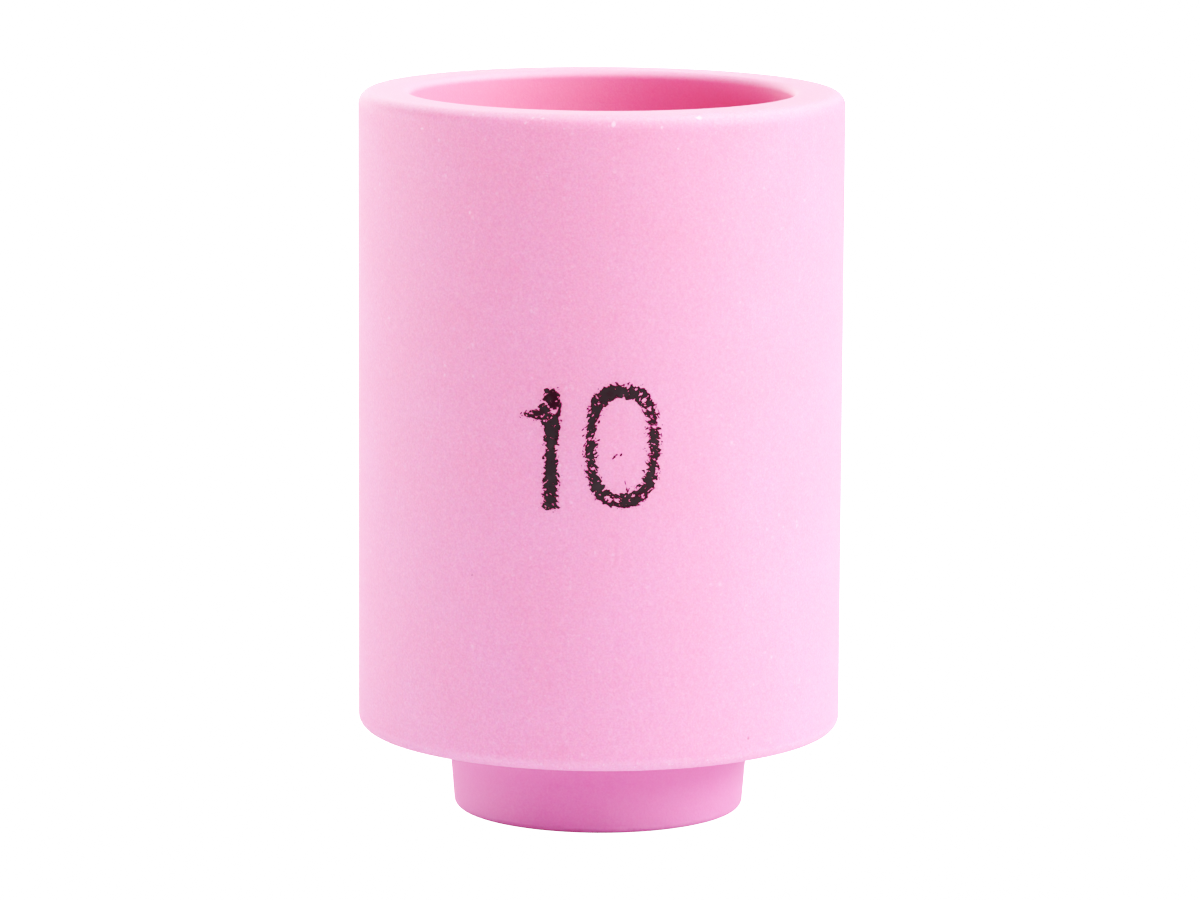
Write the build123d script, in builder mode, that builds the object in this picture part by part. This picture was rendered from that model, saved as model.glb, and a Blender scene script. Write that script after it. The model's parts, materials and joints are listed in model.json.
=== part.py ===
from build123d import *
import math
import os

# Gas nozzle (ceramic cup) of a small TIG torch: one fired alumina piece with a two-digit size number
# stamped on it in black ink. Millimetres. The origin is the centre of the neck's end face, +Z runs up the
# axis to the open mouth, and the size number faces -Y.

# Driving dimensions of the ceramic body
inch = 25.4
bore_radius = 10 / 16 * inch / 2
body_wall = 2.16
outer_radius = bore_radius + body_wall
total_height = 30.2
neck_height = 3.45
neck_top_radius = 6.33
neck_end_radius = 6.04
passage_top = 7.0
bore_bottom = 9.6

# Rounded edges
rim_outer_round = 0.58
rim_inner_round = 0.35
shoulder_round = 0.5
neck_root_round = 0.3
neck_end_round = 0.3

# Internal thread through the neck, a 3/8 in x 32 per inch form with its crests pressed flat
thread_pitch = inch / 32
thread_major_radius = 3 / 8 * inch / 2
thread_root_flat = thread_pitch / 8
thread_groove_mouth = thread_pitch / 2
thread_flank_angle = 30
thread_flank = (thread_groove_mouth - thread_root_flat) / 2
thread_depth = thread_flank / math.tan(math.radians(thread_flank_angle))
thread_minor_radius = thread_major_radius - thread_depth
thread_top = 5.8
lead_in = 0.45

# Size number, a thin film of ink on the outer wall
ink_thickness = 0.03
digit_stroke = 0.56
one_right = -1.29
one_bottom = 14.28
one_top = 19.1
one_flag_reach = 0.93
one_flag_drop = 1.08
one_flag_middle = one_flag_reach / 2
one_flag_underside_drop = 1.4
zero_centre_x = 1.25
zero_centre_z = 16.87
zero_width = 3.14
zero_height = 5.1
zero_corner = 1.4

# How far the flat digit outlines are pushed out from the axis, so that they pass right through the wall
digit_reach = outer_radius + body_wall

os.makedirs("parts", exist_ok=True)

# The body: the wall's section turned once around the axis, then the thread cut through the neck
with BuildPart() as nozzle_body:
    with BuildSketch(Plane.XZ) as wall_section:
        with BuildLine() as wall_outline:
            Polyline(
                (thread_minor_radius + lead_in, 0),
                (neck_end_radius, 0),
                (neck_top_radius, neck_height),
                (outer_radius, neck_height),
                (outer_radius, total_height),
                (bore_radius, total_height),
                (bore_radius, bore_bottom),
                (thread_minor_radius, passage_top),
                (thread_minor_radius, lead_in),
                close=True,
            )
        make_face()
        fillet(wall_section.vertices().group_by(Axis.Y)[-1].sort_by(Axis.X)[-1], rim_outer_round)
        fillet(wall_section.vertices().group_by(Axis.Y)[-1].sort_by(Axis.X)[0], rim_inner_round)
        fillet(wall_section.vertices().group_by(Axis.Y)[0].sort_by(Axis.X)[-1], neck_end_round)
        shoulder_edge = Vector(outer_radius, neck_height)
        fillet(wall_section.vertices().sort_by_distance(shoulder_edge)[0], shoulder_round)
        neck_root = Vector(neck_top_radius, neck_height)
        fillet(wall_section.vertices().sort_by_distance(neck_root)[0], neck_root_round)
    revolve(axis=Axis.Z)

    # The groove starts in open air below the neck, and its profile reaches past the crests
    groove_start = -thread_pitch
    groove_overlap = 0.1
    groove_inner_radius = thread_minor_radius - groove_overlap
    overlap_widening = groove_overlap * math.tan(math.radians(thread_flank_angle))
    groove_half_mouth = thread_groove_mouth / 2 + overlap_widening
    with BuildLine() as groove_path:
        Helix(
            pitch=thread_pitch,
            height=thread_top - groove_start,
            radius=thread_minor_radius,
            center=(0, 0, groove_start),
        )
    with BuildSketch(Plane.XZ) as groove_section:
        with BuildLine() as groove_outline:
            Polyline(
                (groove_inner_radius, groove_start - groove_half_mouth),
                (thread_major_radius, groove_start - thread_root_flat / 2),
                (thread_major_radius, groove_start + thread_root_flat / 2),
                (groove_inner_radius, groove_start + groove_half_mouth),
                close=True,
            )
        make_face()
    sweep(path=groove_path.line, is_frenet=True, mode=Mode.SUBTRACT)
nozzle_body.part.label = "nozzle_body"

# The ring of space that the ink film fills, seen from above
with BuildSketch() as ink_ring:
    Circle(outer_radius + ink_thickness)
    Circle(outer_radius, mode=Mode.SUBTRACT)

# Each digit is a flat outline pushed out through that ring, so the film follows the curved wall
with BuildPart() as size_mark_one:
    with BuildSketch(Plane.XZ) as one_outline:
        with BuildLine() as one_edge:
            Polyline(
                (one_right, one_bottom),
                (one_right, one_top),
                (one_right - digit_stroke, one_top),
                (one_right - digit_stroke - one_flag_reach, one_top - one_flag_drop),
                (one_right - digit_stroke - one_flag_middle, one_top - one_flag_underside_drop),
                (one_right - digit_stroke, one_top - one_flag_drop),
                (one_right - digit_stroke, one_bottom),
                close=True,
            )
        make_face()
    extrude(amount=digit_reach)
    extrude(ink_ring.sketch, amount=total_height, mode=Mode.INTERSECT)
size_mark_one.part.label = "size_mark_one"

with BuildPart() as size_mark_zero:
    with BuildSketch(Plane.XZ) as zero_outline:
        with Locations((zero_centre_x, zero_centre_z)):
            RectangleRounded(zero_width, zero_height, zero_corner)
            RectangleRounded(
                zero_width - 2 * digit_stroke,
                zero_height - 2 * digit_stroke,
                zero_corner - digit_stroke,
                mode=Mode.SUBTRACT,
            )
    extrude(amount=digit_reach)
    extrude(ink_ring.sketch, amount=total_height, mode=Mode.INTERSECT)
size_mark_zero.part.label = "size_mark_zero"

export_step(nozzle_body.part, "parts/nozzle_body.step")
export_step(size_mark_one.part, "parts/size_mark_one.step")
export_step(size_mark_zero.part, "parts/size_mark_zero.step")
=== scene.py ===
import json
import math

import bpy
from mathutils import Matrix, Vector, noise


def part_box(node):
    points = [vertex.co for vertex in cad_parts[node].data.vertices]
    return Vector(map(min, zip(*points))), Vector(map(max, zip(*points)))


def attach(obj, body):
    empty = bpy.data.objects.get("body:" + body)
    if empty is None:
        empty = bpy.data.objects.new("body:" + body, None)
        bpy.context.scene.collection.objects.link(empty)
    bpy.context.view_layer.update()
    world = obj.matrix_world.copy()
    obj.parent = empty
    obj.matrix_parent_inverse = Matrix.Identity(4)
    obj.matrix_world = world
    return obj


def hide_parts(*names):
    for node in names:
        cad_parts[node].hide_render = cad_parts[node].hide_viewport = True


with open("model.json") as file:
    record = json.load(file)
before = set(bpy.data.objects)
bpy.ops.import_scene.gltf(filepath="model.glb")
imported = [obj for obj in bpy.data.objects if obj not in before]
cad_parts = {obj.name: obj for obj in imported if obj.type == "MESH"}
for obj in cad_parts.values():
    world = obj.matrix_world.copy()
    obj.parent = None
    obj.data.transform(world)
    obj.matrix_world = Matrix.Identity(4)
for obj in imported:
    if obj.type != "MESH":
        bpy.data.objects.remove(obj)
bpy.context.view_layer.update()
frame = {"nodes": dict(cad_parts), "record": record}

MM = 0.001
INCH = 25.4 * MM

# ---------------------------------------------------------------- sizes, from the frame and its record
body_low, body_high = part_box("nozzle_body")
outer_radius = (body_high.x - body_low.x) / 2
total_height = body_high.z
mounts = {mount["name"]: mount for mount in frame["record"]["mounts"]}
thread = mounts["torch_thread"]
bore = mounts["mouth_bore"]
shoulder_z = mounts["shoulder_face"]["pos_m"][2]
bore_radius = bore["dims"]["r_mm"] * MM
thread_minor = thread["dims"]["r_mm"] * MM

# The record doesn't give these, so they repeat the CAD part's own dimensions
neck_top_radius = 6.33 * MM
neck_end_radius = 6.04 * MM
lead_in = 0.45 * MM
passage_top = lead_in + thread["dims"]["length_mm"] * MM
bore_bottom = 9.6 * MM
thread_pitch = INCH / 32
thread_major = 3 / 8 * INCH / 2
thread_top = 5.8 * MM
plain_passage = thread_top + thread_pitch / 4

rim_outer_round = 0.58 * MM
rim_inner_round = 0.35 * MM
shoulder_round = 0.5 * MM
neck_root_round = 0.3 * MM
neck_end_round = 0.3 * MM
bore_floor_round = 0.6 * MM
passage_round = 0.3 * MM

# How finely the body's mesh is cut: around the axis, in each round, along the thread and above it
SEGMENTS = 288
ROUND_STEPS = 8
THREAD_ROWS = 120
PASSAGE_STEP = 0.2 * MM
# A point this close to the thread's wall, in metres, counts as on it
SLACK = 1e-9

# The thread's groove in pitches: its half width at the root and at the mouth, and its run-out at the top
GROOVE_ROOT, GROOVE_MOUTH, GROOVE_RUN_OUT = 1 / 16, 1 / 4, 1 / 4


def between(value, start, end):
    """0 at start and beyond, 1 at end and beyond, smooth between them."""
    share = min(1.0, max(0.0, (value - start) / (end - start)))
    return share * share * (3 - 2 * share)


# ---------------------------------------------------------------- the fired body
def corner(before, point, after, radius):
    """The points of a round of this radius at a corner of the wall's section."""
    a = (Vector(before) - Vector(point)).normalized()
    b = (Vector(after) - Vector(point)).normalized()
    half = a.angle(b) / 2
    centre = Vector(point) + (a + b).normalized() * (radius / math.sin(half))
    start = Vector(point) + a * (radius / math.tan(half)) - centre
    end = Vector(point) + b * (radius / math.tan(half)) - centre
    turn = start.angle_signed(end)
    return [centre + Matrix.Rotation(-turn * i / ROUND_STEPS, 2) @ start for i in range(ROUND_STEPS + 1)]


def run(start, end, step):
    """Points between two ends of a straight stretch, about a step apart, without the ends."""
    count = max(1, round((Vector(end) - Vector(start)).length / step))
    return [Vector(start).lerp(Vector(end), i / count) for i in range(1, count)]


def groove_depth(angle, height):
    """How far the thread's groove goes into the wall here, as a rounded trapezoid along the axis."""
    phase = (height / thread_pitch - angle / math.tau) % 1.0
    share = between(min(phase, 1.0 - phase), GROOVE_MOUTH, GROOVE_ROOT)
    run_out = min(1.0, max(0.0, (thread_top - height) / (GROOVE_RUN_OUT * thread_pitch)))
    return (thread_major - thread_minor) * share * run_out


def wall_section():
    """The wall's section, outside first: from the lead-in's lower edge round to just above it."""
    inner_end = (thread_minor + lead_in, 0)
    neck_end = (neck_end_radius, 0)
    neck_root = (neck_top_radius, shoulder_z)
    shoulder = (outer_radius, shoulder_z)
    rim_outer = (outer_radius, total_height)
    rim_inner = (bore_radius, total_height)
    bore_end = (bore_radius, bore_bottom)
    passage = (thread_minor, passage_top)
    land_end = (thread_minor, plain_passage)

    points = [Vector(inner_end)]
    # Each corner between its neighbours, its round, and the spacing of the points on the way to it
    corners = [
        (inner_end, neck_end, neck_root, neck_end_round, 0.5 * MM),
        (neck_end, neck_root, shoulder, neck_root_round, 0.5 * MM),
        (neck_root, shoulder, rim_outer, shoulder_round, 0.8 * MM),
        (shoulder, rim_outer, rim_inner, rim_outer_round, 0.3 * MM),
        (rim_outer, rim_inner, bore_end, rim_inner_round, 0.3 * MM),
        (rim_inner, bore_end, passage, bore_floor_round, 0.8 * MM),
        (bore_end, passage, land_end, passage_round, 0.4 * MM),
    ]
    for before, point, after, radius, step in corners:
        rounded = corner(before, point, after, radius)
        points += run(points[-1], rounded[0], step) + rounded
    points += run(points[-1], land_end, PASSAGE_STEP)
    points += [Vector((thread_minor, plain_passage * (1 - i / THREAD_ROWS))) for i in range(THREAD_ROWS)]
    return points


def make_body():
    """The wall's section turned about the axis, with the thread's groove cut into its passage."""
    section = wall_section()
    verts = []
    for radius, height in section:
        threaded = radius <= thread_minor + SLACK and height < plain_passage + SLACK
        for i in range(SEGMENTS):
            angle = math.tau * i / SEGMENTS
            r = radius
            if threaded:
                r = max(thread_minor + groove_depth(angle, height), thread_minor + lead_in - height)
            verts.append((r * math.cos(angle), r * math.sin(angle), height))
    rings = len(section)
    faces = []
    for ring in range(rings):
        above = (ring + 1) % rings
        for i in range(SEGMENTS):
            j = (i + 1) % SEGMENTS
            here, there = ring * SEGMENTS, above * SEGMENTS
            faces.append((here + i, here + j, there + j, there + i))
    mesh = bpy.data.meshes.new("nozzle")
    mesh.from_pydata(verts, [], faces)
    mesh.shade_smooth()
    piece = bpy.data.objects.new("nozzle", mesh)
    bpy.context.scene.collection.objects.link(piece)
    return piece


# ---------------------------------------------------------------- the stamped number
# In mm: the grid's cell, the depth inside the edge where the ink is at its thickest, the margin kept for
# specks, and the depth given to a point that is certainly bare
INK_CELL = 0.019
INK_FULL = 0.08
INK_FRINGE = 0.16
BARE_DEPTH = -0.01
# How far the film stands off the wall, what share of that is left at its edges, and how far it reaches in
INK_HEIGHT = 0.016 * MM
INK_EDGE_SHARE = 0.4
INK_SUNK = INK_HEIGHT / 4

# The 0's outer and inner edge, as (up, taken in across, taken in up) in mm from its box
ZERO_OUTER = (0.03, 0.06, 0.02)
ZERO_INNER = (0.02, 0.54, 0.61)
# How far up or down the 0's sides wear, from none to most, as shares of its half height
ZERO_SIDES = (0.85, 0.5)
ZERO_LEAST_WORN, ZERO_LEFT_WORN, ZERO_RIGHT_WORN = 0.2, 0.8075, 0.935

# The 1's stem line is this far in from its box's right side. Its bars are (across, down, across, down, half
# width, half width) in mm from where that line meets the box's top
ONE_STEM_INSET = 0.28
ONE_UPPER = (0.01, 1.27, -0.05, 2.3, 0.34, 0.24)
ONE_LOWER = (-0.05, 2.3, -0.05, 4.6, 0.24, 0.32)
ONE_ROOT = (-0.34, 0.8, -0.1, 1.4, 0.28, 0.3)
ONE_FLAG = (-1.12, 1.06, -0.5, 0.95, 0.09, 0.26)
ONE_BLOT = (-0.05, 0.27, 0.06, 0.46, 0.34, 0.3)
# How worn the 1 is at least, and what is added further down, as (amount, from, to) in mm from the top
ONE_LEAST_WORN = 0.3
ONE_WORN = ((0.4, 1.8, 2.6), (0.3, 3.92, 4.52))
ONE_FLAG_WORN = 0.5
# How much thinner the ink is on the blot and on the flag
ONE_BLOT_THINNED, ONE_FLAG_THINNED = 0.5, 0.12
ONE_SOFT_EDGE = (-0.02, 0.1)
# Where the flag's own wear starts and is full, in mm inside the flag and outside the stem
ONE_IN_FLAG, ONE_OFF_STEM = (0.0, 0.08), (0.0, -0.1)

# How much finer and weaker each octave of the noise is than the one before, and how square the 0's ovals are
OCTAVE_FINER, OCTAVE_WEAKER = 2.1, 0.5
OVAL_POWER, OVAL_CENTRE = 2.6, 1e-6


def turbulence(x, z, scale, seed, octaves=3):
    """Noise from -1 to 1 or so, with features of this size in mm, and finer ones on top of them."""
    total, size, weight = 0.0, 1.0, 1.0
    for _ in range(octaves):
        total += weight * noise.noise(Vector((x / scale * size, z / scale * size, seed)))
        size *= OCTAVE_FINER
        weight *= OCTAVE_WEAKER
    return total


def bar(x, z, ax, az, bx, bz, radius_a, radius_b):
    """Depth inside a rounded bar from a to b that tapers between two radii, in mm."""
    dx, dz = bx - ax, bz - az
    along = min(1.0, max(0.0, ((x - ax) * dx + (z - az) * dz) / (dx * dx + dz * dz)))
    radius = radius_a + (radius_b - radius_a) * along
    return radius - math.hypot(x - ax - along * dx, z - az - along * dz)


def oval(x, z, half_width, half_height):
    """Depth inside a squarish oval centred on the origin, in mm."""
    reach = (abs(x / half_width) ** OVAL_POWER + abs(z / half_height) ** OVAL_POWER) ** (1 / OVAL_POWER)
    if reach < OVAL_CENTRE:
        return min(half_width, half_height)
    return math.hypot(x, z) * (1 / reach - 1)


def zero_edge(x, z, half_width, half_height, edge):
    """Depth inside one of the 0's two edges."""
    up, in_across, in_up = edge
    return oval(x, z - up, half_width - in_across, half_height - in_up)


def zero_stroke(x, z, half_width, half_height):
    """The 0's stroke in mm, how worn it is there (most down both sides), and how thickly inked."""
    outer = zero_edge(x, z, half_width, half_height, ZERO_OUTER)
    inner = zero_edge(x, z, half_width, half_height, ZERO_INNER)
    side_worn = ZERO_RIGHT_WORN if x > 0 else ZERO_LEFT_WORN
    wear_and_highlight = ZERO_LEAST_WORN + side_worn * between(abs(z) / half_height, *ZERO_SIDES)
    return min(outer, -inner), wear_and_highlight, 1.0


def one_bar(x, z, half_width, half_height, ends):
    """Depth inside one of the 1's bars."""
    ax, a_down, bx, b_down, radius_a, radius_b = ends
    across, up = x - (half_width - ONE_STEM_INSET), z - half_height
    return bar(across, up, ax, -a_down, bx, -b_down, radius_a, radius_b)


def one_stroke(x, z, half_width, half_height):
    """The 1's stroke in mm: a waisted stem, a flag and a blot on top, both of them thinly inked."""
    bars = (ONE_UPPER, ONE_LOWER, ONE_ROOT, ONE_FLAG, ONE_BLOT)
    depths = [one_bar(x, z, half_width, half_height, ends) for ends in bars]
    upper, _, _, flag, blot = depths
    wear_and_highlight = ONE_LEAST_WORN
    for amount, start, end in ONE_WORN:
        wear_and_highlight += amount * between(half_height - z, start, end)
    wear_and_highlight += ONE_FLAG_WORN * between(flag, *ONE_IN_FLAG) * between(upper, *ONE_OFF_STEM)
    blot_thinned = ONE_BLOT_THINNED * between(blot, *ONE_SOFT_EDGE)
    flag_thinned = ONE_FLAG_THINNED * between(flag, *ONE_SOFT_EDGE)
    return max(depths), wear_and_highlight, 1.0 - blot_thinned - flag_thinned


# Bare places in each digit, as (across, up, size) in mm from its centre
ZERO_BARE = ((0.17, 2.44, 0.1), (1.24, 0.8, 0.09), (0.86, 1.86, 0.12), (1.08, 1.52, 0.09),
             (-0.54, -2.14, 0.12), (-0.2, -2.2, 0.11), (0.48, -2.02, 0.06), (0.8, -2.05, 0.06),
             (-0.98, 2.02, 0.04), (1.0, 1.1, 0.09), (-0.7, -1.7, 0.04), (0.5, 2.3, 0.04),
             (-0.94, 1.75, 0.05), (0.72, 2.12, 0.03), (1.2, 1.2, 0.06), (-1.2, -0.9, 0.06), (-1.3, 0.3, 0.05))
ONE_BARE = ((0.48, 1.52, 0.08), (0.2, 1.84, 0.04), (-0.3, 1.22, 0.04), (0.15, 1.15, 0.03),
            (-0.42, 1.42, 0.035), (-0.12, 1.62, 0.03), (0.02, 1.34, 0.03), (0.3, 1.28, 0.03))
# Stray ink near each digit, as lines (across, up, across, up, half width) in mm from its centre
ZERO_STRAY = ((0.12, -1.42, 0.19, -1.75, 0.02), (0.19, -1.75, 0.24, -2.0, 0.03),
              (0.3, -1.72, 0.2, -1.95, 0.02), (1.28, 1.12, 1.39, 0.86, 0.055), (1.42, 1.5, 1.5, 1.2, 0.014),
              (0.62, 2.35, 0.82, 2.52, 0.014), (-0.3, -0.42, -0.36, -0.5, 0.05),
              (-0.05, -0.36, -0.01, -0.3, 0.04), (-0.2, -0.33, -0.25, -0.36, 0.03))
ONE_STRAY = ((0.36, 2.42, 0.4, 2.38, 0.022), (0.5, 2.46, 0.56, 2.5, 0.018), (0.66, 2.52, 0.72, 2.58, 0.022),
             (0.72, 1.42, 0.8, 1.86, 0.09), (0.62, 1.36, 0.66, 1.52, 0.08))

# The print's wear, with every size, reach and depth in mm.
# How the edge wanders, and the two ways the teeth slant, in radians, with the size of the patches of each
EDGE_SIZE, EDGE_REACH = 0.17, 0.07
SLANT_SIZE, SLANTS = 0.8, (0.7, -0.55)
# The teeth's size, how much longer than wide they are, how deep they are at least and how much wear adds, how
# far in from the edge they go, and how far wear takes the edge back
TEETH_SIZE, TEETH_STRETCH, TEETH_LEAST, TEETH_WORN = 0.12, 2.6, 0.04, 0.26
NEAR_EDGE = 0.27
WORN_BACK = 0.02
# The same for the flakes, with the noise above which the ink has come off and how much wear lowers it
FLAKE_SIZE, FLAKE_STRETCH, FLAKE_DEPTH = 0.085, 2.2, 0.35
FLAKE_THRESHOLD, FLAKE_WORN = 0.62, 0.4
# How ragged the bare places and the strays are, how flat the bare places are, and how the strays taper
BARE_STRETCH, BARE_RAGGED, BARE_FLATTEN = 2.0, 0.16, 1.2
STRAY_TAPER, STRAY_RAGGED = 0.5, 0.4
# The drifts of specks, how far out from the stroke they go, and the specks' cell, fading and sizes
DRIFT_SIZE, DRIFT_RANGE = 0.6, (-0.4, 0.25)
SPECK_REACH = (-0.34, -0.02)
SPECK_CELL, SPECK_FADE = 0.1, 0.035
SPECK_LEAST, SPECK_GROWTH, SPECK_NARROW = 0.06, 0.34, 1.25


def scatter(x, z, cell, seed):
    """Depth inside the nearest of a scatter of uneven dots, about one to a cell."""
    column, row = math.floor(x / cell), math.floor(z / cell)
    best = -cell
    for i in range(column - 1, column + 2):
        for j in range(row - 1, row + 2):
            draw = noise.cell_vector(Vector((i + 0.5, j + 0.5, seed + 0.5)))
            across, up, size = abs(draw.x) % 1, abs(draw.y) % 1, abs(draw.z) % 1
            gap = math.hypot((x / cell - i - across) * SPECK_NARROW, z / cell - j - up)
            best = max(best, (SPECK_LEAST + SPECK_GROWTH * size * size - gap) * cell)
    return best


def printed(stroke, bare, stray, x, z, half_width, half_height, seed):
    """How far inside the printed ink a point is, in mm, and how thickly it is inked there."""
    depth, wear_and_highlight, inking = stroke(x, z, half_width, half_height)
    edge = turbulence(x, z, EDGE_SIZE, seed) * EDGE_REACH

    # Slanting teeth and flakes, which eat into the worn parts from both edges
    slant = SLANTS[0] if turbulence(x, z, SLANT_SIZE, seed + 3, 1) > 0 else SLANTS[1]
    along = x * math.cos(slant) + z * math.sin(slant)
    across = z * math.cos(slant) - x * math.sin(slant)
    teeth = turbulence(along / TEETH_STRETCH, across, TEETH_SIZE, seed + 13, 2)
    near_edge = between(depth, NEAR_EDGE, 0.0)
    inked = depth + edge + teeth * (TEETH_LEAST + TEETH_WORN * wear_and_highlight * near_edge) - WORN_BACK * wear_and_highlight
    flakes = turbulence(along / FLAKE_STRETCH, across, FLAKE_SIZE, seed + 21, 2)
    inked = min(inked, FLAKE_DEPTH * (FLAKE_THRESHOLD - FLAKE_WORN * wear_and_highlight * near_edge - flakes))

    for place_x, place_z, size in bare:
        ragged = turbulence(along / BARE_STRETCH, across, FLAKE_SIZE, seed + 31, 2) * BARE_RAGGED
        inked = min(inked, math.hypot(x - place_x, (z - place_z) * BARE_FLATTEN) - size + ragged)
    for ax, az, bx, bz, radius in stray:
        line = bar(x, z, ax, az, bx, bz, radius, radius * STRAY_TAPER)
        inked = max(inked, line + edge * STRAY_RAGGED)

    # Specks around the stroke, in drifts, fewer further out
    drift = between(turbulence(x, z, DRIFT_SIZE, seed + 37, 1), *DRIFT_RANGE)
    reach = between(depth, *SPECK_REACH) * drift
    specks = scatter(x, z, SPECK_CELL, seed + 41) - SPECK_FADE * (1 - reach)
    return max(inked, specks if reach > 0 else BARE_DEPTH), inking


def make_digit(name, node, stroke, bare, stray, seed):
    """An ink film on the wall where its CAD node is, its outline found on a fine grid."""
    low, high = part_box(node)
    centre_x, centre_z = (low.x + high.x) / 2, (low.z + high.z) / 2
    size = (high.x - low.x) / 2 / MM, (high.z - low.z) / 2 / MM
    reach_x, reach_z = size[0] + INK_FRINGE, size[1] + INK_FRINGE
    columns, rows = round(2 * reach_x / INK_CELL), round(2 * reach_z / INK_CELL)

    def place(i, j):
        return -reach_x + 2 * reach_x * i / columns, -reach_z + 2 * reach_z * j / rows

    def value(i, j):
        if i in (0, columns) or j in (0, rows):
            return BARE_DEPTH, 1.0
        return printed(stroke, bare, stray, *place(i, j), *size, seed)

    field = [[value(i, j) for j in range(rows + 1)] for i in range(columns + 1)]
    points, index = [], {}

    def vertex(key, x, z, full):
        if key not in index:
            index[key] = len(points)
            points.append((x * MM, z * MM, full))
        return index[key]

    loops = []
    for i in range(columns):
        for j in range(rows):
            ring = [(i, j), (i + 1, j), (i + 1, j + 1), (i, j + 1)]
            loop = []
            for here, there in zip(ring, ring[1:] + ring[:1]):
                (a, inking), (b, _) = field[here[0]][here[1]], field[there[0]][there[1]]
                if a > 0:
                    loop.append(vertex(here, *place(*here), min(1.0, a / INK_FULL) * inking))
                if (a > 0) != (b > 0):
                    t = a / (a - b)
                    (ax, az), (bx, bz) = place(*here), place(*there)
                    edge = (min(here, there), max(here, there))
                    loop.append(vertex(edge, ax + (bx - ax) * t, az + (bz - az) * t, 0.0))
            if len(loop) > 2:
                loops.append(loop)
    return film_piece(name, points, loops, centre_x, centre_z)


def film_piece(name, points, loops, centre_x, centre_z):
    """Wraps the flat loops on the wall as a closed film, thinner at its edges, and notes how thick it is."""
    verts, thickness = [], []
    for upper in (True, False):
        for x, z, full in points:
            angle = math.asin((centre_x + x) / outer_radius)
            lift = INK_HEIGHT * (INK_EDGE_SHARE + (1 - INK_EDGE_SHARE) * full)
            r = outer_radius + (lift if upper else -INK_SUNK)
            verts.append((r * math.sin(angle), -r * math.cos(angle), centre_z + z))
            thickness.append(full)
    under = len(points)
    faces = [tuple(loop) for loop in loops]
    faces += [tuple(under + k for k in reversed(loop)) for loop in loops]
    sides = set()
    for loop in loops:
        for a, b in zip(loop, loop[1:] + loop[:1]):
            if (b, a) in sides:
                sides.remove((b, a))
            else:
                sides.add((a, b))
    faces += [(b, a, under + a, under + b) for a, b in sorted(sides)]
    mesh = bpy.data.meshes.new(name)
    mesh.from_pydata(verts, [], faces)
    mesh.attributes.new("thickness", "FLOAT", "POINT").data.foreach_set("value", thickness)
    piece = bpy.data.objects.new(name, mesh)
    bpy.context.scene.collection.objects.link(piece)
    return piece


# ---------------------------------------------------------------- materials
FIRED_WARM = (0.905, 0.285, 0.485, 1)
FIRED_COOL = (0.885, 0.298, 0.52, 1)
# The bore's colour is painted shade: redder, for the light that reaches it only by bouncing inside
BORE_PAINTED_SHADE = (0.91, 0.282, 0.455, 1)
# The neck's colours are painted light and shade: darker and more violet under the shoulder, paler towards its
# foot as if lit from the floor
NECK_PAINTED_SHADE = (0.81, 0.272, 0.512, 1)
NECK_FOOT_PAINTED_LIGHT = (0.85, 0.31, 0.545, 1)
PALE_CRYSTAL_AND_HIGHLIGHT = (0.95, 0.62, 0.8, 1)
FIRED_PIT = (0.30, 0.03, 0.10, 1)
FIRED_CHIP = (0.98, 0.8, 0.9, 1)
# The dark and pale grains, then the range and the least value of the grain's colour cast
GRAIN_DARK = (0.937, 0.838, 0.874, 1)
GRAIN_PALE = (1.063, 1.162, 1.126, 1)
CAST_RANGE = (0.12, 0.16, 0.16)
CAST_LEAST = (0.94, 0.92, 0.92)
# Painted light from the foot of the wall to the rim: paler and bluer at the foot as if lit by the cool floor,
# warmer at the rim
LOW_PAINTED_LIGHT = (1.0, 1.035, 1.045, 1)
HIGH_PAINTED_LIGHT = (1.0, 0.99, 0.955, 1)
# Marks on the numbered side: across and up in mm, size in mm, flatness, strength, colour
BLEMISHES = (
    (-7.0, 29.36, 0.16, 2.8, 0.4, FIRED_CHIP),
    (-4.95, 26.15, 0.10, 0.8, 0.5, FIRED_CHIP),
    (-5.15, 26.35, 0.08, 2.0, 0.4, FIRED_CHIP),
    (0.88, 29.92, 0.11, 0.7, 0.5, FIRED_CHIP),
    (4.25, 30.08, 0.16, 1.8, 0.7, FIRED_CHIP),
    (-1.95, 30.08, 0.08, 1.2, 0.5, FIRED_CHIP),
    (-2.35, 30.1, 0.08, 1.0, 0.4, FIRED_CHIP),
    (-2.65, 29.9, 0.08, 0.8, 0.45, FIRED_CHIP),
    (-4.8, 30.1, 0.07, 1.0, 0.4, FIRED_CHIP),
    (-1.1, 29.7, 0.08, 1.0, 0.35, FIRED_CHIP),
    (2.8, 29.78, 0.07, 1.0, 0.35, FIRED_CHIP),
    (3.45, 28.9, 0.07, 1.0, 0.35, FIRED_CHIP),
    (-4.35, 27.3, 0.07, 1.0, 0.55, FIRED_PIT),
    (-4.82, 11.4, 0.09, 1.0, 0.8, FIRED_PIT),
    (-4.42, 11.36, 0.07, 1.0, 0.5, FIRED_PIT),
    (6.45, 4.55, 0.08, 1.0, 0.5, FIRED_PIT),
)
INK_FILM = (0.38, 0.09, 0.2, 1)
INK_THIN = (0.05, 0.001, 0.014, 1)
INK_BLACK = (0.032, 0.009, 0.016, 1)
INK_GREY = (0.06, 0.035, 0.045, 1)

# The ceramic's surface and how light spreads in it
ALUMINA_ROUGHNESS, ALUMINA_IOR = 0.6, 1.65
SPREAD_SHARE, SPREAD_COLOURS, SPREAD_DISTANCE = 0.35, (1.0, 0.45, 0.7), 1.6 * MM
# How strong the painted highlight on the foot's round is, the share of that on the rim's outer edge, and how
# strong the painted highlight on the rim's top is
FOOT_HIGHLIGHT, RIM_EDGE_HIGHLIGHT_SHARE, RIM_TOP_HIGHLIGHT = 0.17, 0.15, 0.3
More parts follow.
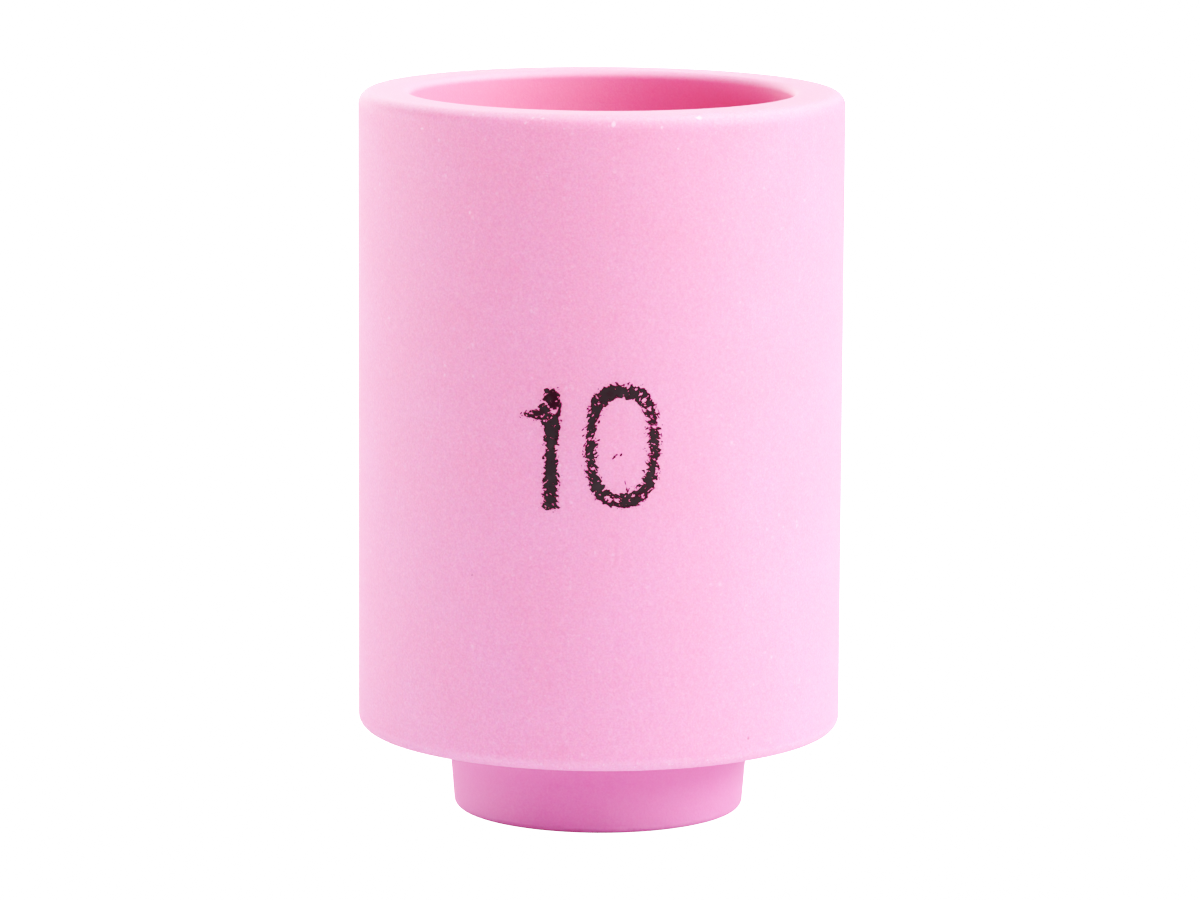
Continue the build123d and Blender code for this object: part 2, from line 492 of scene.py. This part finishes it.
# Noise and cell patterns, in features per metre
MOTTLE_SCALE = 300.0
GRAIN_SCALE = 12000.0
CAST_SCALE = 7000.0
CROWD_SCALE = 900.0
RAGGED_SCALE, RAGGED_REACH = 9000.0, 0.09 * MM
PIT_SCALE = 420.0
BLOTCH_SCALE = 1500.0
# How much of the grain shows inside the bore and on the neck, and how much of the crystals
INNER_GRAIN, INNER_CRYSTALS = 0.35, 0.15
# Pale crystals, as (scale, strength, share of cells left out), and how far they show in the painted highlight
# bands on the edges
CRYSTALS = ((4200.0, 0.55, 0.8), (8500.0, 0.4, 0.55))
HIGHLIGHT_CRYSTALS = 1.1
PIT_STRENGTH = 0.6
GRAIN_BUMP, GRAIN_BUMP_HEIGHT = 0.35, 0.02 * MM
INK_ROUGHNESS, INK_IOR = 0.6, 1.45
INK_BUMP, INK_BUMP_HEIGHT = 0.3, 0.01 * MM


def new_material(name):
    material = bpy.data.materials.new(name)
    material.use_nodes = True
    nodes = material.node_tree.nodes
    return material, nodes, material.node_tree.links, nodes["Principled BSDF"]


def node(nodes, kind, **values):
    """A shader node with its settings and the values of its named inputs."""
    made = nodes.new(kind)
    for key, value in values.items():
        if key in made.inputs:
            made.inputs[key].default_value = value
        else:
            setattr(made, key, value)
    return made


class Shading:
    """Builds one material's node tree out of small steps, each of which returns an output socket."""

    def __init__(self, name):
        self.material, self.nodes, self.links, self.shader = new_material(name)
        self.place = node(self.nodes, "ShaderNodeTexCoord").outputs["Object"]

    def connect(self, source, target):
        if hasattr(source, "is_output"):
            self.links.new(source, target)
        else:
            target.default_value = source

    def noise(self, scale, detail, output="Fac"):
        made = node(self.nodes, "ShaderNodeTexNoise", Scale=scale, Detail=detail)
        self.connect(self.place, made.inputs["Vector"])
        return made.outputs[output]

    def cells(self, scale, place=None):
        made = node(self.nodes, "ShaderNodeTexVoronoi", Scale=scale)
        self.connect(place or self.place, made.inputs["Vector"])
        return made.outputs["Distance"], made.outputs["Color"]

    def ramp(self, value, start, end, low=0.0, high=1.0, smooth=False):
        made = node(self.nodes, "ShaderNodeMapRange")
        made.interpolation_type = "SMOOTHSTEP" if smooth else "LINEAR"
        self.connect(value, made.inputs["Value"])
        for key, amount in (("From Min", start), ("From Max", end), ("To Min", low), ("To Max", high)):
            made.inputs[key].default_value = amount
        return made.outputs["Result"]

    def maths(self, operation, first, second):
        made = node(self.nodes, "ShaderNodeMath", operation=operation)
        self.connect(first, made.inputs[0])
        self.connect(second, made.inputs[1])
        return made.outputs["Value"]

    def product(self, *factors):
        result = factors[0]
        for factor in factors[1:]:
            result = self.maths("MULTIPLY", result, factor)
        return result

    def vector(self, operation, first, second, output="Vector"):
        made = node(self.nodes, "ShaderNodeVectorMath", operation=operation)
        self.connect(first, made.inputs[0])
        self.connect(second, made.inputs["Scale" if operation == "SCALE" else 1])
        return made.outputs[output]

    def mix(self, factor, first, second):
        made = node(self.nodes, "ShaderNodeMix", data_type="RGBA")
        self.connect(factor, made.inputs["Factor"])
        self.connect(first, made.inputs["A"])
        self.connect(second, made.inputs["B"])
        return made.outputs["Result"]

    def bump(self, height, strength, distance):
        made = node(self.nodes, "ShaderNodeBump", Strength=strength, Distance=distance)
        self.connect(height, made.inputs["Height"])
        self.connect(made.outputs["Normal"], self.shader.inputs["Normal"])


def alumina_material():
    """Pink fired alumina: fine grain, pale crystals and a few pits, with painted light and shade: highlights
    on the edges and the rim's top, a colour shift with height, a darker neck and a redder bore.
    """
    tone = Shading("fired_alumina")
    tone.shader.inputs["Roughness"].default_value = ALUMINA_ROUGHNESS
    tone.shader.inputs["IOR"].default_value = ALUMINA_IOR
    tone.shader.inputs["Subsurface Weight"].default_value = SPREAD_SHARE
    tone.shader.inputs["Subsurface Radius"].default_value = SPREAD_COLOURS
    tone.shader.inputs["Subsurface Scale"].default_value = SPREAD_DISTANCE

    parts = node(tone.nodes, "ShaderNodeSeparateXYZ")
    tone.connect(tone.place, parts.inputs["Vector"])
    height = parts.outputs["Z"]
    flat = tone.vector("MULTIPLY", tone.place, (1.0, 1.0, 0.0))
    from_axis = tone.vector("LENGTH", flat, (0.0, 0.0, 0.0), "Value")

    # Where on the nozzle a point is: in the bore, on the neck, on either edge or the rim's top, where shade
    # and highlights are painted
    bore_shade_mask = tone.ramp(from_axis, bore_radius + 0.4 * MM, bore_radius + 0.05 * MM, smooth=True)
    neck_shade_mask = tone.ramp(from_axis, neck_top_radius + 0.9 * MM, neck_top_radius + 0.1 * MM, smooth=True)
    neck_shade_mask = tone.product(neck_shade_mask, tone.ramp(height, shoulder_z + 0.05 * MM, shoulder_z - 0.05 * MM))
    outside = tone.ramp(from_axis, outer_radius - 1.1 * MM, outer_radius - 0.5 * MM, smooth=True)
    foot_highlight_band = tone.ramp(height, shoulder_z + 0.62 * MM, shoulder_z + 0.3 * MM, smooth=True)
    rim_edge_highlight_band = tone.ramp(height, total_height - 0.75 * MM, total_height - 0.3 * MM, smooth=True)
    wear_and_highlight = tone.product(outside, tone.maths("MAXIMUM", foot_highlight_band, tone.product(rim_edge_highlight_band, RIM_EDGE_HIGHLIGHT_SHARE)))
    rim_top_highlight = tone.ramp(height, total_height - 0.32 * MM, total_height - 0.08 * MM, smooth=True)

    # Slow mottling and fine grain
    mottle = tone.ramp(tone.noise(MOTTLE_SCALE, 3.0), 0.32, 0.68)
    base = tone.mix(mottle, FIRED_WARM, FIRED_COOL)
    # Painted light: paler and bluer towards the foot, warmer towards the rim
    drift = tone.mix(tone.ramp(height, shoulder_z, total_height), LOW_PAINTED_LIGHT, HIGH_PAINTED_LIGHT)
    base = tone.vector("MULTIPLY", base, drift)
    # Painted shade in the bore: redder, for light that reaches it only by bouncing inside
    base = tone.mix(bore_shade_mask, base, BORE_PAINTED_SHADE)
    # Painted shade on the neck under the shoulder, turning to painted floor light towards its foot
    shaded_neck = tone.mix(tone.ramp(height, 0.0, 0.6 * shoulder_z), NECK_FOOT_PAINTED_LIGHT, NECK_PAINTED_SHADE)
    base = tone.mix(neck_shade_mask, base, shaded_neck)
    # Painted highlights on the foot's round and the rim's outer edge, where light catches them
    base = tone.mix(tone.product(wear_and_highlight, FOOT_HIGHLIGHT), base, PALE_CRYSTAL_AND_HIGHLIGHT)
    # Painted highlight on the rim's top, which faces the light from above
    base = tone.mix(tone.product(rim_top_highlight, RIM_TOP_HIGHLIGHT), base, PALE_CRYSTAL_AND_HIGHLIGHT)
    grain = tone.noise(GRAIN_SCALE, 2.0)
    grain_tone = tone.mix(tone.ramp(grain, 0.25, 0.75), GRAIN_DARK, GRAIN_PALE)
    grained = tone.vector("MULTIPLY", base, grain_tone)
    cast = tone.vector("MULTIPLY", tone.noise(CAST_SCALE, 1.0, output="Color"), CAST_RANGE)
    grained = tone.vector("MULTIPLY", grained, tone.vector("ADD", cast, CAST_LEAST))
    base = tone.mix(tone.ramp(outside, 0.0, 1.0, INNER_GRAIN, 1.0), base, grained)

    # Pale crystals, small and crowded, more of them in the painted highlight bands on the edges
    ragged = tone.vector("SCALE", tone.noise(RAGGED_SCALE, 1.0, output="Color"), RAGGED_REACH)
    shifted = tone.vector("ADD", tone.place, ragged)
    crowd = tone.ramp(tone.noise(CROWD_SCALE, 2.0), 0.35, 0.65, 0.25, 1.0)
    crowd = tone.product(crowd, tone.ramp(outside, 0.0, 1.0, INNER_CRYSTALS, 1.0))
    for scale, strength, rarity in CRYSTALS:
        distance, chance = tone.cells(scale, shifted)
        inside_crystal = tone.ramp(distance, 0.38, 0.1)
        chosen = tone.ramp(chance, rarity, 0.95)
        shown = tone.maths("MAXIMUM", tone.product(crowd, strength), tone.product(wear_and_highlight, HIGHLIGHT_CRYSTALS))
        base = tone.mix(tone.product(inside_crystal, chosen, shown), base, PALE_CRYSTAL_AND_HIGHLIGHT)

    # Rare dark pits, and the chips, scuffs and pits seen on the numbered side
    distance, chance = tone.cells(PIT_SCALE)
    pits = tone.product(tone.ramp(distance, 0.035, 0.012), tone.ramp(chance, 0.88, 0.9))
    base = tone.mix(tone.product(pits, PIT_STRENGTH), base, FIRED_PIT)
    for across, up, size, flatness, strength, colour in BLEMISHES:
        past_round = max(0.0, up * MM - (total_height - rim_outer_round))
        radius = outer_radius - rim_outer_round + math.sqrt(rim_outer_round ** 2 - past_round ** 2)
        spot = (across * MM, -math.sqrt(radius ** 2 - (across * MM) ** 2), up * MM)
        away = tone.vector("MULTIPLY", tone.vector("SUBTRACT", shifted, spot), (1.0, 1.0, flatness))
        away = tone.vector("LENGTH", away, (0.0, 0.0, 0.0), "Value")
        mark = tone.ramp(away, size * MM, 0.45 * size * MM, 0.0, strength)
        base = tone.mix(mark, base, colour)

    tone.connect(base, tone.shader.inputs["Base Color"])
    tone.bump(grain, GRAIN_BUMP, GRAIN_BUMP_HEIGHT)
    return tone.material


def ink_material():
    """Black ink that goes maroon where it is thin, with a blotchy, slightly raised surface."""
    tone = Shading("stamped_ink")
    tone.shader.inputs["Roughness"].default_value = INK_ROUGHNESS
    tone.shader.inputs["IOR"].default_value = INK_IOR
    thickness = node(tone.nodes, "ShaderNodeAttribute", attribute_name="thickness").outputs["Fac"]
    blotch = tone.noise(BLOTCH_SCALE, 3.0)
    full = tone.maths("ADD", thickness, tone.ramp(blotch, 0.3, 0.7, -0.3, 0.15))
    base = tone.mix(tone.ramp(full, -0.05, 0.3), INK_FILM, INK_THIN)
    base = tone.mix(tone.ramp(full, 0.45, 0.85), base, INK_BLACK)
    base = tone.mix(tone.ramp(blotch, 0.56, 0.72, 0.0, 0.6), base, INK_GREY)
    tone.connect(base, tone.shader.inputs["Base Color"])
    tone.connect(tone.ramp(full, 0.5, 0.85, 0.1, 0.5), tone.shader.inputs["Specular IOR Level"])
    tone.bump(blotch, INK_BUMP, INK_BUMP_HEIGHT)
    return tone.material


# ---------------------------------------------------------------- floor, light and camera
FLOOR_HALF = 1.5
FLOOR_LEVEL = -0.01 * MM
FLOOR_COLOUR = (0.78, 0.77, 0.84, 1)
FLOOR_ROUGHNESS = 0.9
WHITE = (1, 1, 1, 1)
# How bright the floor and the surroundings look to the camera, and how bright the surroundings' light is
FLOOR_GLOW = 2.2
WORLD_SEEN = 2.5
WORLD_LIGHT = 0.435

# Softboxes, as (name, azimuth, elevation, width, height, power) in degrees, metres and watts
LIGHT_DISTANCE = 0.6
LIGHTS = (
    ("key_softbox", 90, 35, 0.5, 0.4, 4.25),
    ("front_right_fill", 45, 35, 0.45, 0.35, 1.15),
    ("high_fill", 60, 62, 0.45, 0.3, 1.15),
    ("back_left_softbox", -150, 15, 0.5, 0.28, 2.1),
    ("left_card", -90, 3, 0.35, 0.08, 1.1),
    ("back_left_card", -120, 3, 0.35, 0.08, 0.55),
    ("top_softbox", 0, 88, 0.4, 0.4, 0.6),
)

# The camera's angles in degrees, its distance from the axis and its rise over the rim in outer radii, its
# lens in mm, and what it can see in metres
CAMERA_AZIMUTH, CAMERA_PITCH, CAMERA_ROLL = 2.07, 9.30, 0.32
CAMERA_DISTANCE, CAMERA_RISE = 25.08, 2.609
LENS, SENSOR = 184.1, 36
NEAREST, FURTHEST = 0.01, 10

# The exposure at the tone curve's right end, and the curve as (exposure, share of white shown)
CURVE_WHITE = 2.0
TONE_CURVE = ((0.1, 0.06), (0.25, 0.268), (0.5, 0.546), (0.9, 0.815), (1.4, 0.987))


def make_floor():
    """A wide white floor, a hair under the nozzle so that the two never share a plane."""
    signs = ((-1, -1), (1, -1), (1, 1), (-1, 1))
    corners = [(x * FLOOR_HALF, y * FLOOR_HALF, FLOOR_LEVEL) for x, y in signs]
    mesh = bpy.data.meshes.new("floor")
    mesh.from_pydata(corners, [], [(0, 1, 2, 3)])
    floor = bpy.data.objects.new("floor", mesh)
    bpy.context.scene.collection.objects.link(floor)
    material, nodes, links, shader = new_material("white_floor")
    shader.inputs["Base Color"].default_value = FLOOR_COLOUR
    shader.inputs["Roughness"].default_value = FLOOR_ROUGHNESS
    ray = node(nodes, "ShaderNodeLightPath")
    shader.inputs["Emission Color"].default_value = WHITE
    glow = node(nodes, "ShaderNodeMath", operation="MULTIPLY")
    glow.inputs[1].default_value = FLOOR_GLOW
    links.new(ray.outputs["Is Camera Ray"], glow.inputs[0])
    links.new(glow.outputs["Value"], shader.inputs["Emission Strength"])
    material.cycles.emission_sampling = "NONE"
    mesh.materials.append(material)


def make_world():
    """Soft even light from all around, which the camera sees as pure white."""
    world = bpy.data.worlds.new("studio")
    world.use_nodes = True
    nodes, links = world.node_tree.nodes, world.node_tree.links
    bpy.context.scene.world = world
    background = nodes["Background"]
    background.inputs["Color"].default_value = WHITE
    background.inputs["Strength"].default_value = WORLD_LIGHT
    seen = node(nodes, "ShaderNodeBackground", Color=WHITE, Strength=WORLD_SEEN)
    ray = node(nodes, "ShaderNodeLightPath")
    mix = node(nodes, "ShaderNodeMixShader")
    links.new(ray.outputs["Is Camera Ray"], mix.inputs["Fac"])
    links.new(background.outputs["Background"], mix.inputs[1])
    links.new(seen.outputs["Background"], mix.inputs[2])
    links.new(mix.outputs["Shader"], nodes["World Output"].inputs["Surface"])


def area_light(name, azimuth, elevation, width, height, power):
    """A softbox that faces the nozzle's middle. Azimuth 0 is the camera's side, 90 its right."""
    data = bpy.data.lights.new(name, "AREA")
    data.shape = "RECTANGLE"
    data.size, data.size_y = width, height
    data.energy = power
    light = bpy.data.objects.new(name, data)
    bpy.context.scene.collection.objects.link(light)
    a, e = math.radians(azimuth), math.radians(elevation)
    outward = Vector((math.sin(a) * math.cos(e), -math.cos(a) * math.cos(e), math.sin(e)))
    light.location = Vector((0, 0, total_height / 2)) + outward * LIGHT_DISTANCE
    light.rotation_euler = outward.to_track_quat("Z", "Y").to_euler()


def make_camera():
    """A long lens a quarter of a metre away, a little above the rim and turned a touch past the number."""
    azimuth, pitch, roll = (math.radians(angle) for angle in (CAMERA_AZIMUTH, CAMERA_PITCH, CAMERA_ROLL))
    distance, rise = CAMERA_DISTANCE * outer_radius, CAMERA_RISE * outer_radius
    level = Vector((-math.sin(azimuth), math.cos(azimuth), 0))
    forward = level * math.cos(pitch) - Vector((0, 0, math.sin(pitch)))
    across = Vector((math.cos(azimuth), math.sin(azimuth), 0))
    above = across.cross(forward)
    right = across * math.cos(roll) + above * math.sin(roll)
    up = above * math.cos(roll) - across * math.sin(roll)
    data = bpy.data.cameras.new("camera")
    data.lens, data.sensor_width = LENS, SENSOR
    data.clip_start, data.clip_end = NEAREST, FURTHEST
    camera = bpy.data.objects.new("camera", data)
    bpy.context.scene.collection.objects.link(camera)
    camera.matrix_world = Matrix((
        (right.x, up.x, -forward.x, distance * math.sin(azimuth)),
        (right.y, up.y, -forward.y, -distance * math.cos(azimuth)),
        (right.z, up.z, -forward.z, total_height + rise),
        (0, 0, 0, 1),
    ))
    bpy.context.scene.camera = camera


def photographic_curve(view):
    """A camera's tone curve: a soft toe, and a shoulder that reaches white at twice diffuse white."""
    view.use_curve_mapping = True
    mapping = view.curve_mapping
    mapping.white_level = (CURVE_WHITE, CURVE_WHITE, CURVE_WHITE)
    mapping.extend = "HORIZONTAL"
    curve = mapping.curves[3]
    curve.points[0].location = (0.0, 0.0)
    curve.points[1].location = (1.0, 1.0)
    for exposure, shown in TONE_CURVE:
        curve.points.new(exposure / CURVE_WHITE, shown)
    for point in curve.points:
        point.handle_type = "AUTO_CLAMPED"
    mapping.update()


# ---------------------------------------------------------------- making everything
alumina, ink = alumina_material(), ink_material()

nozzle = make_body()
nozzle.data.materials.append(alumina)
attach(nozzle, "root")
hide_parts("nozzle_body")

digit_one = make_digit("printed_one", "size_mark_one", one_stroke, ONE_BARE, ONE_STRAY, 3.0)
digit_zero = make_digit("printed_zero", "size_mark_zero", zero_stroke, ZERO_BARE, ZERO_STRAY, 50.0)
for digit, cad_node in ((digit_one, "size_mark_one"), (digit_zero, "size_mark_zero")):
    digit.data.materials.append(ink)
    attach(digit, "root")
    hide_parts(cad_node)

for name, cad_piece in frame["nodes"].items():
    cad_piece.data.materials.clear()
    cad_piece.data.materials.append(ink if name.startswith("size_mark") else alumina)

make_floor()
make_world()
for light in LIGHTS:
    area_light(*light)
make_camera()

scene = bpy.context.scene
scene.view_settings.view_transform = "Standard"
scene.view_settings.look = "None"
photographic_curve(scene.view_settings)
